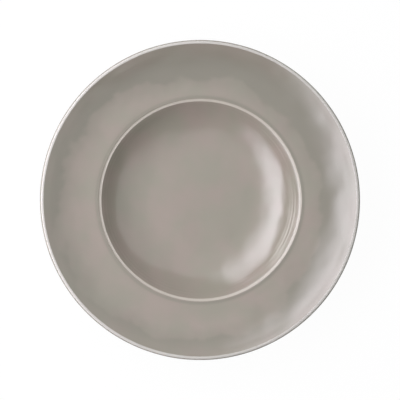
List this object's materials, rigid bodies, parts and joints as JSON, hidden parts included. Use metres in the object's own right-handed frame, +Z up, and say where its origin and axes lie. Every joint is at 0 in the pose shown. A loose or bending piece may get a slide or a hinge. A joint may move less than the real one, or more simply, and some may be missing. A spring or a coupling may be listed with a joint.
{
  "type": "pasta plate",
  "caption": "Round glazed ceramic pasta plate with a deep curved well, a raised lip round it, a wide rim turning up to its edge, and a foot ring to stand on.",
  "frame": {"origin": "on the table under the plate's centre, in the plane of the foot ring's flat", "axes": "+Z up along the plate's axis; +X and +Y are any two square directions across it, because the plate is round"},
  "size_m": [0.2906, 0.2906, 0.0416],
  "materials": {
    "fired_ceramic": "pale cream, satin",
    "glaze": "warm grey, glossy"
  },
  "bodies": {
    "root": {"plate_body": "fired_ceramic", "well_glaze": "glaze", "rim_glaze": "glaze", "underside_glaze": "glaze", "foot_recess_glaze": "glaze"}
  },
  "joints": []
}
